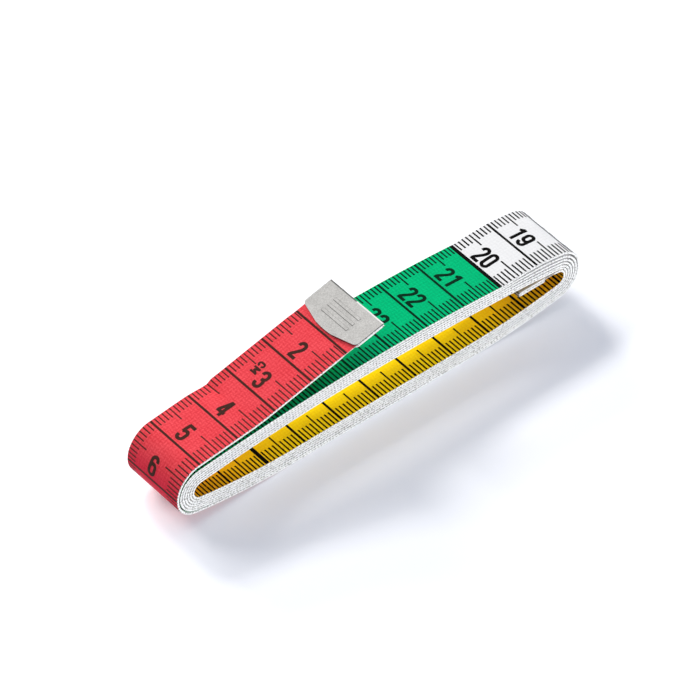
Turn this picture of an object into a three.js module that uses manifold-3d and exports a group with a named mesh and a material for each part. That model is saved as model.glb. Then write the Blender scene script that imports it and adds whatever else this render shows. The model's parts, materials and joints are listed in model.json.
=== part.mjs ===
// Cloth tape measure wound into a flat loop, its zero end lifted off the pile, with a metal tip on each end.
// Lengths are in millimetres. The loop lies along X, the tape's width runs along Y and Z is up.

import * as THREE from 'three';
import { mergeVertices } from 'three/addons/utils/BufferGeometryUtils.js';
import Module from 'manifold-3d';

const wasm = await Module();
wasm.setup();

// Tape
const TAPE_LENGTH = 1500;
const TAPE_WIDTH = 16.4;
const TAPE_THICKNESS = 0.2;
const LAYER_GAP = 0.42;
const WOUND_TURNS = 6;
const FOLD_CLIMB = 0.5;

// Bore of the loop: a flat underside that rises to two tight folds, under a low crown
const REST_FLAT = 46;
const UNDERSIDE_RADIUS = 140;
const FOLD_RADIUS = 2;
const CROWN_RADIUS = 420;

// Crease in the outermost turn, with the swelling that runs from it to the nose of the right fold
const CREASE_RUN = 15.5;
const CREASE_SWELL = 1.2;

// Zero end: it springs off the left fold, runs to a crease, then rises to its tip
const FREE_END_LIFT = 0.9;
const ROOT_RUN = 16;
const FREE_RUN = 34;
const FREE_END_RISE = THREE.MathUtils.degToRad(7);

// Far end, inside the loop, hanging a little below the turn above it
const INNER_RUN = 11.2;
const INNER_END_DROP = THREE.MathUtils.degToRad(6.5);

// Bending places between the stretches of tape
const BEND_GAP = 0.3;
const FOLD_LEAD = 0.5;

// Metal tips, each one sheet folded over the tape's end with a bowed edge on both faces
const TIP_SIDE = 8.1;
const TIP_MIDDLE = 9.8;
const TIP_CORNER = 1.2;
const TIP_OVERHANG = 0.25;
const TIP_SHEET = 0.3;
const TIP_CLEARANCE = 0.1;

// Facets along each kind of run
const CROWN_STEPS = 5;
const CREASE_STEPS = 5;
const FOLD_STEPS = 14;
const UNDERSIDE_STEPS = 5;
const ARC_STEPS = 16;

const LAYER_PITCH = TAPE_THICKNESS + LAYER_GAP;
const OUTER_FOLD_RADIUS = FOLD_RADIUS + WOUND_TURNS * LAYER_PITCH;
const TIP_BORE = TAPE_THICKNESS / 2 + TIP_CLEARANCE;
const TIP_ROUND = TIP_BORE + TIP_SHEET;

const colours = {
  tape: { color: 0xf0f0f2, roughness: 0.6, metalness: 0 },
  zeroField: { color: 0xe23a46, roughness: 0.5, metalness: 0 },
  farField: { color: 0xf6c80f, roughness: 0.5, metalness: 0 },
  tip: { color: 0xcbc9c4, roughness: 0.35, metalness: 1 },
};

// One turn of the bore, clockwise from the crown: each run has a length and the angle that it turns through
function boreRuns(halfLength) {
  const noseCentre = halfLength - FOLD_RADIUS;
  const crown = Math.asin(noseCentre / (CROWN_RADIUS - FOLD_RADIUS));
  const rise = Math.asin((noseCentre - REST_FLAT / 2) / (UNDERSIDE_RADIUS - FOLD_RADIUS));
  const fold = Math.PI - crown - rise;
  const creased = CREASE_RUN / CROWN_RADIUS;
  const arc = (name, radius, angle, steps, climb) => ({ name, length: radius * angle, angle, steps, climb });
  const crownRun = arc('crown', CROWN_RADIUS, crown - creased, CROWN_STEPS, 0);
  const riseRun = arc('rise', UNDERSIDE_RADIUS, rise, UNDERSIDE_STEPS, 0);
  return [
    crownRun,
    arc('crease', CROWN_RADIUS, creased, CREASE_STEPS, 0),
    arc('right_fold', FOLD_RADIUS, fold, FOLD_STEPS, FOLD_CLIMB),
    riseRun,
    { name: 'rest', length: REST_FLAT, angle: 0, steps: 1, climb: 0 },
    riseRun,
    arc('left_fold', FOLD_RADIUS, fold, FOLD_STEPS, FOLD_CLIMB),
    arc('root', CROWN_RADIUS, creased, CREASE_STEPS, 0),
    crownRun,
  ];
}

// Stand-off of the outermost turn: it swells from its crease to the nose of the right fold, and springs off
// the upper half of the left fold
function standOff(run, share, noseAt) {
  if (run.name === 'left_fold') {
    return FREE_END_LIFT * THREE.MathUtils.smoothstep(share, 0.5, 1);
  }
  if (run.name === 'root') {
    return FREE_END_LIFT;
  }
  const fromCrease = {
    crease: share * CREASE_RUN,
    right_fold: CREASE_RUN + share * run.angle * OUTER_FOLD_RADIUS,
  };
  const swellShare = Math.min(1, (fromCrease[run.name] ?? 0) / noseAt);
  return CREASE_SWELL * Math.sin(Math.PI * swellShare);
}

// Points of the bore, each with its heading and the share of a layer that the tape has climbed by there
function boreStations(halfLength) {
  const runs = boreRuns(halfLength);
  const rightFold = runs.find((run) => run.name === 'right_fold');
  const noseAt = CREASE_RUN + rightFold.angle / 2 * OUTER_FOLD_RADIUS;
  const stations = [];
  const place = { x: 0, z: 0, heading: 0, climb: 0 };
  for (const run of runs) {
    const turn = run.angle / run.steps;
    const chord = turn > 0 ? 2 * run.length / run.angle * Math.sin(turn / 2) : run.length / run.steps;
    for (let step = 0; step < run.steps; step += 1) {
      stations.push({ ...place, run: run.name, standOff: standOff(run, step / run.steps, noseAt) });
      place.x += chord * Math.cos(place.heading - turn / 2);
      place.z += chord * Math.sin(place.heading - turn / 2);
      place.heading -= turn;
      place.climb += run.climb / run.steps;
    }
  }
  return stations;
}

// Centre line of the wound tape, from the far end's fold outward to the zero end's fold
function windingLine(halfLength) {
  const stations = boreStations(halfLength);
  const first = stations.findIndex((station) => station.run === 'right_fold');
  const last = stations.findIndex((station) => station.run === 'root');
  const line = [];
  const total = WOUND_TURNS * stations.length + last;
  for (let index = first; index <= total; index += 1) {
    const turn = Math.floor(index / stations.length);
    const station = stations[index % stations.length];
    const looseness = turn === WOUND_TURNS ? station.standOff : 0;
    const offset = (turn + station.climb) * LAYER_PITCH + looseness;
    line.push(new THREE.Vector2(
      station.x - offset * Math.sin(station.heading),
      station.z + offset * Math.cos(station.heading),
    ));
  }
  const start = new THREE.Vector2(FOLD_LEAD, 0).rotateAround(new THREE.Vector2(), stations[first].heading);
  const end = new THREE.Vector2(FOLD_LEAD, 0).rotateAround(new THREE.Vector2(), stations[last].heading);
  line.unshift(line[0].clone().sub(start));
  line.push(line[line.length - 1].clone().add(end));
  return line;
}

function lineLength(line) {
  let length = 0;
  for (let index = 1; index < line.length; index += 1) {
    length += line[index].distanceTo(line[index - 1]);
  }
  return length;
}

// The loop is as long as it has to be for the whole tape to lie in its turns
function solveHalfLength() {
  const wound = TAPE_LENGTH - FREE_RUN - ROOT_RUN - INNER_RUN;
  let low = REST_FLAT / 2 + FOLD_RADIUS;
  let high = UNDERSIDE_RADIUS + REST_FLAT / 2;
  while (high - low > Number.EPSILON * high) {
    const middle = (low + high) / 2;
    if (lineLength(windingLine(middle)) < wound) {
      low = middle;
    } else {
      high = middle;
    }
  }
  return low;
}

// Least clear distance between one turn of the strip and the next, measured on the points of its centre line
function leastGap(line) {
  const along = [0];
  for (let index = 1; index < line.length; index += 1) {
    along.push(along[index - 1] + line[index].distanceTo(line[index - 1]));
  }
  const nearby = 4 * OUTER_FOLD_RADIUS;
  const nearest = new THREE.Vector3();
  const segment = new THREE.Line3();
  let least = Infinity;
  line.forEach((point, here) => {
    const from = new THREE.Vector3(point.x, 0, point.y);
    for (let there = 1; there < line.length; there += 1) {
      const away = Math.min(Math.abs(along[there] - along[here]), Math.abs(along[there - 1] - along[here]));
      if (away > nearby) {
        segment.start.set(line[there - 1].x, 0, line[there - 1].y);
        segment.end.set(line[there].x, 0, line[there].y);
        segment.closestPointToPoint(from, true, nearest);
        least = Math.min(least, nearest.distanceTo(from));
      }
    }
  });
  return least - TAPE_THICKNESS;
}

// A side profile in X and Z, pushed across the width
function extrudeAcross(shape, width) {
  const geometry = new THREE.ExtrudeGeometry(shape, {
    depth: width,
    bevelEnabled: false,
    curveSegments: ARC_STEPS,
  });
  geometry.rotateX(Math.PI / 2);
  geometry.translate(0, width / 2, 0);
  return geometry;
}

// Flat strip that follows a centre line, square at both ends
function stripGeometry(line) {
  const outer = [];
  const inner = [];
  line.forEach((point, index) => {
    const before = line[Math.max(0, index - 1)];
    const after = line[Math.min(line.length - 1, index + 1)];
    const direction = after.clone().sub(before).normalize();
    const side = new THREE.Vector2(-direction.y, direction.x).multiplyScalar(TAPE_THICKNESS / 2);
    outer.push(point.clone().add(side));
    inner.push(point.clone().sub(side));
  });
  return extrudeAcross(new THREE.Shape([...outer, ...inner.reverse()]), TAPE_WIDTH);
}

function straightStrip(from, to) {
  return stripGeometry([new THREE.Vector2(from, 0), new THREE.Vector2(to, 0)]);
}

function toSolid(geometry) {
  const bare = new THREE.BufferGeometry();
  bare.setAttribute('position', geometry.getAttribute('position').clone());
  if (geometry.index) {
    bare.setIndex(geometry.index.clone());
  }
  const merged = mergeVertices(bare);
  return new wasm.Manifold(new wasm.Mesh({
    numProp: 3,
    vertProperties: new Float32Array(merged.getAttribute('position').array),
    triVerts: new Uint32Array(merged.index.array),
  }));
}

function toGeometry(solid) {
  const mesh = solid.getMesh();
  const geometry = new THREE.BufferGeometry();
  geometry.setAttribute('position', new THREE.BufferAttribute(mesh.vertProperties, 3));
  geometry.setIndex(new THREE.BufferAttribute(mesh.triVerts, 1));
  return geometry;
}

// Sheet folded over the tape's end: the end of the fold lies at X = 0 and both faces run back along -X
function tipGeometry() {
  const width = TAPE_WIDTH + 2 * TIP_OVERHANG;
  const half = width / 2;
  const back = -2 * TIP_MIDDLE;

  const folded = new THREE.Shape();
  folded.moveTo(back, TIP_ROUND);
  folded.lineTo(-TIP_ROUND, TIP_ROUND);
  folded.absarc(-TIP_ROUND, 0, TIP_ROUND, Math.PI / 2, -Math.PI / 2, true);
  folded.lineTo(back, -TIP_ROUND);
  folded.lineTo(back, -TIP_BORE);
  folded.lineTo(-TIP_ROUND, -TIP_BORE);
  folded.absarc(-TIP_ROUND, 0, TIP_BORE, -Math.PI / 2, Math.PI / 2, false);
  folded.lineTo(back, TIP_BORE);

  const bow = TIP_MIDDLE - TIP_SIDE;
  const bowRadius = (half * half + bow * bow) / (2 * bow);
  const bowCentre = bowRadius - TIP_MIDDLE;
  const bowHalf = half - TIP_CORNER;
  const bowAngle = Math.asin(bowHalf / bowRadius);
  const bowStart = bowCentre - bowRadius * Math.cos(bowAngle);
  const plan = new THREE.Shape();
  plan.moveTo(TIP_SHEET, -half);
  plan.lineTo(TIP_SHEET, half);
  plan.lineTo(TIP_CORNER - TIP_SIDE, half);
  plan.quadraticCurveTo(-TIP_SIDE, half, bowStart, bowHalf);
  plan.absarc(bowCentre, 0, bowRadius, Math.PI - bowAngle, Math.PI + bowAngle, false);
  plan.quadraticCurveTo(-TIP_SIDE, -half, TIP_CORNER - TIP_SIDE, -half);
  const depth = 4 * TIP_ROUND;
  const stamped = new THREE.ExtrudeGeometry(plan, { depth, bevelEnabled: false, curveSegments: ARC_STEPS });
  stamped.translate(0, 0, -depth / 2);

  return toGeometry(toSolid(extrudeAcross(folded, width)).intersect(toSolid(stamped)));
}

function piece(name, geometry, look) {
  const mesh = new THREE.Mesh(geometry, new THREE.MeshStandardMaterial(look));
  mesh.name = name;
  return mesh;
}

// A bending place, with local X along the tape that goes on from it
function bend(point, toward) {
  const group = new THREE.Group();
  const direction = toward.clone().sub(point);
  group.position.set(point.x, 0, point.y);
  group.rotation.y = -Math.atan2(direction.y, direction.x);
  return group;
}

function shorten(line) {
  const ends = line.map((point) => point.clone());
  const first = ends[1].clone().sub(ends[0]).setLength(BEND_GAP / 2);
  const last = ends[ends.length - 2].clone().sub(ends[ends.length - 1]).setLength(BEND_GAP / 2);
  ends[0].add(first);
  ends[ends.length - 1].add(last);
  return ends;
}

const line = windingLine(solveHalfLength());
const farBend = line[0];
const rootBend = line[line.length - 1];
const past = (end, inside) => end.clone().multiplyScalar(2).sub(inside);
console.log(`least gap between turns: ${leastGap(line).toFixed(3)} mm`);

const winding = piece('tape_winding', stripGeometry(shorten(line)), colours.tape);

const root = bend(rootBend, past(rootBend, line[line.length - 2]));
root.add(piece('free_end_root', straightStrip(BEND_GAP / 2, ROOT_RUN - BEND_GAP / 2), colours.zeroField));

const free = new THREE.Group();
free.position.x = ROOT_RUN;
free.rotation.y = -FREE_END_RISE;
free.add(piece('free_end', straightStrip(BEND_GAP / 2, FREE_RUN - TIP_ROUND), colours.zeroField));
root.add(free);

const outerTip = piece('outer_tip', tipGeometry(), colours.tip);
outerTip.position.x = FREE_RUN;
free.add(outerTip);

const inner = bend(farBend, past(farBend, line[1]));
inner.rotation.y -= INNER_END_DROP;
inner.add(piece('inner_end', straightStrip(BEND_GAP / 2, INNER_RUN - TIP_ROUND), colours.farField));

const innerTip = piece('inner_tip', tipGeometry(), colours.tip);
innerTip.position.x = INNER_RUN;
inner.add(innerTip);

// The part stands on Z = 0 with its box centred on X and Y
const tapeMeasure = new THREE.Group();
tapeMeasure.add(winding, root, inner);
tapeMeasure.updateMatrixWorld(true);
const box = new THREE.Box3().setFromObject(tapeMeasure, true);
tapeMeasure.position.set(-(box.min.x + box.max.x) / 2, 0, -box.min.z);
tapeMeasure.updateMatrixWorld(true);

export default tapeMeasure;
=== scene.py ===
"""Cloth tape measure wound into a flat loop: printed tape, folded metal tips, floor, light and camera."""
import json
import math

import bmesh
import bpy
import numpy as np
from mathutils import Matrix, Vector


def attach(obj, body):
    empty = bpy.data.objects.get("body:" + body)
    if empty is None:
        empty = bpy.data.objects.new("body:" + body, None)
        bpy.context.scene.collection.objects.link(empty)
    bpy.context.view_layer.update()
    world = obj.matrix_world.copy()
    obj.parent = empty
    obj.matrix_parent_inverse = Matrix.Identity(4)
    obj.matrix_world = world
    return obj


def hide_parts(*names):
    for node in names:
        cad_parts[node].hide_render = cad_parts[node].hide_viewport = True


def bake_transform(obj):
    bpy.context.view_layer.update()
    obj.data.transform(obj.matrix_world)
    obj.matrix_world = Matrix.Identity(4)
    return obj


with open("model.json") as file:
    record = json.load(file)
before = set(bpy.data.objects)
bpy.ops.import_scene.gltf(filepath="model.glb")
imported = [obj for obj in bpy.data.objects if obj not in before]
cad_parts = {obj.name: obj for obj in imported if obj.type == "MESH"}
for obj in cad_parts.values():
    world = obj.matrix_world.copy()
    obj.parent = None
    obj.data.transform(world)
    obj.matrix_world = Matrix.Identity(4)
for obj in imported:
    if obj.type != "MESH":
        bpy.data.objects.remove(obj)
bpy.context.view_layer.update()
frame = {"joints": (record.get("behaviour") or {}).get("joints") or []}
bpy.ops.object.select_all(action="DESELECT")

MM = 0.001

# Loop, in millimetres
TAPE_LENGTH = 1500.0
TAPE_WIDTH = 16.4
LAYER_PITCH = 0.62
WOUND_TURNS = 6
FOLD_CLIMB = 0.5
REST_FLAT = 46.0
UNDERSIDE_RADIUS = 140.0
FOLD_RADIUS = 2.0
CROWN_RADIUS = 420.0
CREASE_RUN = 15.5
CREASE_SWELL = 1.2
FREE_END_LIFT = 0.9
ROOT_RUN = 16.0
FREE_RUN = 34.0
FREE_END_RISE = math.radians(7)
INNER_RUN = 11.2
INNER_END_DROP = math.radians(6.5)
FOLD_LEAD = 0.5
OUTER_FOLD_RADIUS = FOLD_RADIUS + WOUND_TURNS * LAYER_PITCH

# Share of the outermost turn's stand-off that each turn takes up, once the tape is laid
LOOSE_TURNS = {6: 1.0, 5: 0.62, 4: 0.34, 3: 0.14}

# Left fold: where along it the outermost turn rises off the pile, and where it is slack before that
LEFT_RISE = (0.5, 1.0)
LEFT_SLACK = 0.17
SLACK_STARTS = (0.0, 0.2)
SLACK_ENDS = (0.55, 0.85)

# Steps of the path in a turn, in the bends and along the two ends, and the reach of the bends
ARC_STEPS, FOLD_STEPS, REST_STEPS = 5, 14, 6
FREE_STEPS, CREASE_STEPS, ROOT_STEPS, FLEX_STEPS, INNER_STEPS = 40, 20, 34, 8, 22
FINER = 4
HALVINGS = 60
CREASE_BEND = 2.5
FLEX_BEND = 0.4
BEND_LEAD = 0.5

# Sway of the turns: height, length and phase of two waves, and its start and end by distance from the two ends
SWAY_WAVES = ((0.07, 37.0, 0.0), (0.05, 11.3, 1.0))
SWAY_STARTS = (60, 140)
SWAY_ENDS = (110, 40)

# Kink at the far edge of the crease: place, depth and slopes, its start across, and its share on the reverse
KINK_AT = 35.2
KINK_DEPTH = 0.62
KINK_BEFORE = 0.9
KINK_AFTER = 3.4
KINK_EDGE = 1.0
KINK_ON_REVERSE = 0.35

# Cloth, in millimetres from the centre line of the strip
PRINTED_FACE = 0.1
REVERSE_FACE = 0.43
PINCHED_FACE = 0.18
EDGE_CHAMFER = 0.07

# Tips, in millimetres
TIP_SIDE = 8.1
TIP_MIDDLE = 9.8
TIP_CORNER = 1.2
TIP_OVERHANG = 0.25
TIP_SHEET = 0.3
TIP_ROUND = 0.5
TIP_SPREAD = 0.24
TIP_PINCH = 0.08

# Runs over which the squeeze of a tip starts and ends, by distance from the end of the tape
BITE_STARTS = (TIP_SIDE - 1.6, TIP_SIDE - 0.2)
ZERO_BITE_ENDS = (TIP_MIDDLE + 0.2, TIP_MIDDLE + 3.7)
FAR_BITE_ENDS = (TIP_MIDDLE + 0.2, TIP_MIDDLE + 2.2)
SPREAD_ENDS = (7.0, TIP_SIDE)
ZERO_PINCH_ENDS = (TIP_MIDDLE + 0.6, TIP_MIDDLE + 3.0)
FAR_PINCH_ENDS = (TIP_MIDDLE + 0.4, TIP_MIDDLE + 1.2)

# Stretches of tape, by distance from the zero end
END_GAP = 0.6
CREASE_AT = FREE_RUN
FREE_SEAM = 40.0
LIFT_AT = FREE_RUN + ROOT_RUN
ROOT_SEAM = 60.0
INNER_STRETCH = 14.6
BORE_RUN = 240.0
FIELD_BORDERS = (100.0, 200.0, 300.0)


# -------------------- the way that the tape lies

def smoothstep(value, low, high):
    share = np.clip((value - low) / (high - low), 0.0, 1.0)
    return share * share * (3 - 2 * share)


def bore_runs(half_length, fine):
    """Runs of one turn round the bore, clockwise from the crown: name, length, angle, steps, climb."""
    nose = half_length - FOLD_RADIUS
    crown = math.asin(nose / (CROWN_RADIUS - FOLD_RADIUS))
    rise = math.asin((nose - REST_FLAT / 2) / (UNDERSIDE_RADIUS - FOLD_RADIUS))
    fold = math.pi - crown - rise
    creased = CREASE_RUN / CROWN_RADIUS
    crown_run = ("crown", CROWN_RADIUS * (crown - creased), crown - creased, ARC_STEPS * fine, 0.0)
    rise_run = ("rise", UNDERSIDE_RADIUS * rise, rise, ARC_STEPS * fine, 0.0)
    return [
        crown_run,
        ("crease", CREASE_RUN, creased, ARC_STEPS * fine, 0.0),
        ("right_fold", FOLD_RADIUS * fold, fold, FOLD_STEPS * fine, FOLD_CLIMB),
        rise_run,
        ("rest", REST_FLAT, 0.0, 1 if fine == 1 else REST_STEPS * fine, 0.0),
        rise_run,
        ("left_fold", FOLD_RADIUS * fold, fold, FOLD_STEPS * fine, FOLD_CLIMB),
        ("root", CREASE_RUN, creased, ARC_STEPS * fine, 0.0),
        crown_run,
    ]


def stand_off(name, share, angle, nose_at):
    """How far the outermost turn stands off the turn below it."""
    if name == "left_fold":
        return FREE_END_LIFT * float(smoothstep(share, *LEFT_RISE))
    if name == "root":
        return FREE_END_LIFT
    reach = {"crease": share * CREASE_RUN, "right_fold": CREASE_RUN + share * angle * OUTER_FOLD_RADIUS}
    return CREASE_SWELL * math.sin(math.pi * min(1.0, reach.get(name, 0.0) / nose_at))


def looseness(name, share, turn, loose, laid):
    """A turn's part of the stand-off, which only the outermost turn has until the tape is laid."""
    if laid and name in ("crease", "right_fold"):
        return loose * LOOSE_TURNS.get(turn, 0.0)
    if turn != WOUND_TURNS:
        return 0.0
    if laid and name == "left_fold":
        slack = smoothstep(share, *SLACK_STARTS) * (1 - smoothstep(share, *SLACK_ENDS))
        return loose + LEFT_SLACK * float(slack)
    return loose


def bore_stations(half_length, fine):
    runs = bore_runs(half_length, fine)
    fold = next(angle for name, _, angle, _, _ in runs if name == "right_fold")
    nose_at = CREASE_RUN + fold / 2 * OUTER_FOLD_RADIUS
    stations = []
    x = z = heading = climb = 0.0
    for name, length, angle, steps, gain in runs:
        turn = angle / steps
        chord = 2 * length / angle * math.sin(turn / 2) if turn > 0 else length / steps
        for step in range(steps):
            share = step / steps
            stations.append((name, share, x, z, heading, climb, stand_off(name, share, angle, nose_at)))
            x += chord * math.cos(heading - turn / 2)
            z += chord * math.sin(heading - turn / 2)
            heading -= turn
            climb += gain / steps
    return stations


def winding_line(half_length, fine, laid=False):
    """Centre line from the far end's fold outward to the zero end's fold."""
    stations = bore_stations(half_length, fine)
    names = [station[0] for station in stations]
    headings = [station[4] for station in stations]
    first, last = names.index("right_fold"), names.index("root")
    line = []
    for index in range(first, WOUND_TURNS * len(stations) + last + 1):
        turn, place = divmod(index, len(stations))
        name, share, x, z, heading, climb, loose = stations[place]
        offset = (turn + climb) * LAYER_PITCH + looseness(name, share, turn, loose, laid)
        line.append((x - offset * math.sin(heading), z + offset * math.cos(heading)))
    start, end = headings[first], headings[last]
    line.insert(0, (line[0][0] - FOLD_LEAD * math.cos(start), line[0][1] - FOLD_LEAD * math.sin(start)))
    line.append((line[-1][0] + FOLD_LEAD * math.cos(end), line[-1][1] + FOLD_LEAD * math.sin(end)))
    return np.array(line)


def line_length(line):
    return float(np.hypot(*np.diff(line, axis=0).T).sum())


def solve_half_length():
    """Half the length of the loop that takes up the whole tape, on the solids' own line."""
    wound = TAPE_LENGTH - FREE_RUN - ROOT_RUN - INNER_RUN
    low, high = REST_FLAT / 2 + FOLD_RADIUS, UNDERSIDE_RADIUS + REST_FLAT / 2
    for _ in range(HALVINGS):
        middle = (low + high) / 2
        if line_length(winding_line(middle, 1)) < wound:
            low = middle
        else:
            high = middle
    return low


def turned(direction, angle):
    c, s = math.cos(angle), math.sin(angle)
    return np.array([direction[0] * c - direction[1] * s, direction[0] * s + direction[1] * c])


def unit(vector):
    return vector / np.hypot(*vector)


def stretch(start, direction, length, steps):
    return [start + direction * length * step / steps for step in range(1, steps + 1)]


def rounded_bend(before, corner, after, reach, steps):
    """A soft bend that starts and ends at reach from its corner."""
    shares = np.linspace(0, 1, steps + 1)[:, None]
    start, end = corner - before * reach, corner + after * reach
    return list((1 - shares) ** 2 * start + 2 * shares * (1 - shares) * corner + shares ** 2 * end)


def tape_path():
    """Distance from the zero end, places and outward normals of the whole tape, with the frames of its two ends."""
    half_length = solve_half_length()
    coarse = winding_line(half_length, 1)
    fine = winding_line(half_length, FINER, laid=True)
    lift = next(joint for joint in frame["joints"] if joint["name"] == "free_end_lift")["pos_m"]
    shift = np.array([lift[0], lift[2]]) / MM - coarse[-1]
    fine = fine + shift

    root_way = unit(fine[-1] - fine[-2])
    free_way = turned(root_way, FREE_END_RISE)
    crease = fine[-1] + root_way * ROOT_RUN
    zero = crease + free_way * FREE_RUN
    fold_way = unit(fine[0] - fine[1])
    inner_way = turned(fold_way, INNER_END_DROP)
    far = fine[0] + inner_way * INNER_RUN

    points = [zero]
    points += stretch(zero, -free_way, FREE_RUN - CREASE_BEND - BEND_LEAD, FREE_STEPS)
    points += rounded_bend(-free_way, crease, -root_way, CREASE_BEND, CREASE_STEPS)
    points += stretch(crease - root_way * CREASE_BEND, -root_way, ROOT_RUN - CREASE_BEND - BEND_LEAD, ROOT_STEPS)
    points += list(fine[:0:-1])
    points += rounded_bend(fold_way, fine[0], inner_way, FLEX_BEND, FLEX_STEPS)
    points += stretch(fine[0] + inner_way * FLEX_BEND, inner_way, INNER_RUN - FLEX_BEND, INNER_STEPS)
    points = np.array(points)

    along = np.concatenate([[0.0], np.cumsum(np.hypot(*np.diff(points, axis=0).T))])
    way = np.gradient(points, along, axis=0)
    way /= np.hypot(way[:, 0], way[:, 1])[:, None]
    normal = np.stack([way[:, 1], -way[:, 0]], axis=1)
    return along, points, normal, {"zero": (zero, free_way), "far": (far, inner_way)}


ALONG, PLACE, NORMAL, ENDS = tape_path()
FAR_END = float(ALONG[-1])
INNER_SEAM = FAR_END - INNER_STRETCH


def sway(along):
    """Each turn lies a little to one side of the next."""
    held = smoothstep(along, *SWAY_STARTS) * (1 - smoothstep(along, *(FAR_END - run for run in SWAY_ENDS)))
    return held * sum(height * np.sin(along / length + phase) for height, length, phase in SWAY_WAVES)


def crease_kink(along, across):
    """The kink that the crease leaves: a notch at the far edge, with a longer slope to the fold."""
    edge = smoothstep(across, KINK_EDGE, TAPE_WIDTH / 2)
    past = np.asarray(along) - KINK_AT
    notch = np.where(past < 0, np.exp(-(past / KINK_BEFORE) ** 2), np.exp(-(past / KINK_AFTER) ** 2))
    return -KINK_DEPTH * edge * notch


def on_tape(along, across, offset):
    """Points in metres from distance along the tape, across it, and out from its centre line."""
    kinked = KINK_ON_REVERSE + (1 - KINK_ON_REVERSE) * smoothstep(offset, -REVERSE_FACE, PRINTED_FACE)
    out = offset + crease_kink(along, across) * kinked
    x = np.interp(along, ALONG, PLACE[:, 0]) + out * np.interp(along, ALONG, NORMAL[:, 0])
    z = np.interp(along, ALONG, PLACE[:, 1]) + out * np.interp(along, ALONG, NORMAL[:, 1])
    return np.stack([x, across + sway(along), z], axis=-1) * MM


def printed_offset(along):
    """The printed face, pinched thin where the bowed edge of a tip bites into it."""
    dips = sum(smoothstep(inward, *BITE_STARTS) * (1 - smoothstep(inward, *bite_ends))
               for inward, bite_ends in ((along, ZERO_BITE_ENDS), (FAR_END - along, FAR_BITE_ENDS)))
    return PRINTED_FACE - (PRINTED_FACE + TIP_PINCH) * dips


def half_width(along):
    """Half the width of the cloth, which spreads a little where a tip squeezes it."""
    squeezed = 2 - smoothstep(along, *SPREAD_ENDS) - smoothstep(FAR_END - along, *SPREAD_ENDS)
    return TAPE_WIDTH / 2 + TIP_SPREAD * squeezed


def reverse_offset(along):
    """The reverse lies deeper than the centre line, and is pinched thin inside the tips."""
    free_of_tips = smoothstep(along, *ZERO_PINCH_ENDS), smoothstep(FAR_END - along, *FAR_PINCH_ENDS)
    return -(PINCHED_FACE + (REVERSE_FACE - PINCHED_FACE) * free_of_tips[0] * free_of_tips[1])


# -------------------- finishes

WEAVE_PITCH = 0.85
WEFT_PITCH = 0.8
WAVE_TEXTURE_PITCH = math.pi / 10
EDGE_ORIGIN = 20.0
# Depths from the middle of a cut edge where the dotted line, partly weft ends and partly painted gap shade, sets in
COAT_DEPTHS = (0.13, 0.22)


def new_finish(name):
    finish = bpy.data.materials.new(name)
    finish.use_nodes = True
    return finish, finish.node_tree, finish.node_tree.nodes["Principled BSDF"]


def blend_colours(tree, share, first, second, kind="MIX"):
    """Blends two colours by a share; each is a plain colour or comes from another node."""
    mix = tree.nodes.new("ShaderNodeMix")
    mix.data_type = "RGBA"
    mix.blend_type = kind
    for socket, colour in ((mix.inputs["A"], first), (mix.inputs["B"], second)):
        if isinstance(colour, tuple):
            socket.default_value = (*colour, 1)
        else:
            tree.links.new(colour, socket)
    tree.links.new(share, mix.inputs["Factor"])
    return mix.outputs["Result"]


def fit_range(tree, value, low, high):
    fit = tree.nodes.new("ShaderNodeMapRange")
    fit.inputs["To Min"].default_value = low
    fit.inputs["To Max"].default_value = high
    tree.links.new(value, fit.inputs["Value"])
    return fit.outputs["Result"]


def join_values(tree, kind, first, second):
    math_node = tree.nodes.new("ShaderNodeMath")
    math_node.operation = kind
    for socket, value in zip(math_node.inputs, (first, second)):
        if isinstance(value, (int, float)):
            socket.default_value = value
        else:
            tree.links.new(value, socket)
    return math_node.outputs["Value"]


def noise(tree, coords, scale, detail):
    texture = tree.nodes.new("ShaderNodeTexNoise")
    texture.inputs["Scale"].default_value = scale
    texture.inputs["Detail"].default_value = detail
    tree.links.new(coords, texture.inputs["Vector"])
    return texture.outputs["Fac"]


def tape_coords(tree):
    """Millimetres along and across the tape."""
    coords = tree.nodes.new("ShaderNodeUVMap")
    coords.uv_map = "tape"
    return coords.outputs["UV"]


def fold_tone(tree):
    """Painted shade: nothing on the tape's straight runs, rising to one in its folds."""
    shade_attribute = tree.nodes.new("ShaderNodeAttribute")
    shade_attribute.attribute_name = "fold_tone"
    return shade_attribute.outputs["Fac"]


def yarn_waves(tree, coords, direction, pitch):
    wave = tree.nodes.new("ShaderNodeTexWave")
    wave.bands_direction = direction
    wave.inputs["Scale"].default_value = WAVE_TEXTURE_PITCH / pitch
    wave.inputs["Distortion"].default_value = 0.6
    wave.inputs["Detail"].default_value = 1.0
    wave.inputs["Detail Scale"].default_value = 0.6
    tree.links.new(coords, wave.inputs["Vector"])
    return wave.outputs["Fac"]


def plain_weave(tree, coords, pitch):
    """Height of a plain weave: warp and weft take turns on top."""
    over = tree.nodes.new("ShaderNodeTexChecker")
    over.inputs["Scale"].default_value = 1 / pitch
    tree.links.new(coords, over.inputs["Vector"])
    pick = tree.nodes.new("ShaderNodeMix")
    tree.links.new(over.outputs["Fac"], pick.inputs["Factor"])
    tree.links.new(yarn_waves(tree, coords, "X", pitch), pick.inputs["A"])
    tree.links.new(yarn_waves(tree, coords, "Y", pitch), pick.inputs["B"])
    return pick.outputs["Result"]


def add_bump(tree, shader, height, strength, distance):
    bump = tree.nodes.new("ShaderNodeBump")
    bump.inputs["Strength"].default_value = strength
    bump.inputs["Distance"].default_value = distance
    tree.links.new(height, bump.inputs["Height"])
    tree.links.new(bump.outputs["Normal"], shader.inputs["Normal"])


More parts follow.
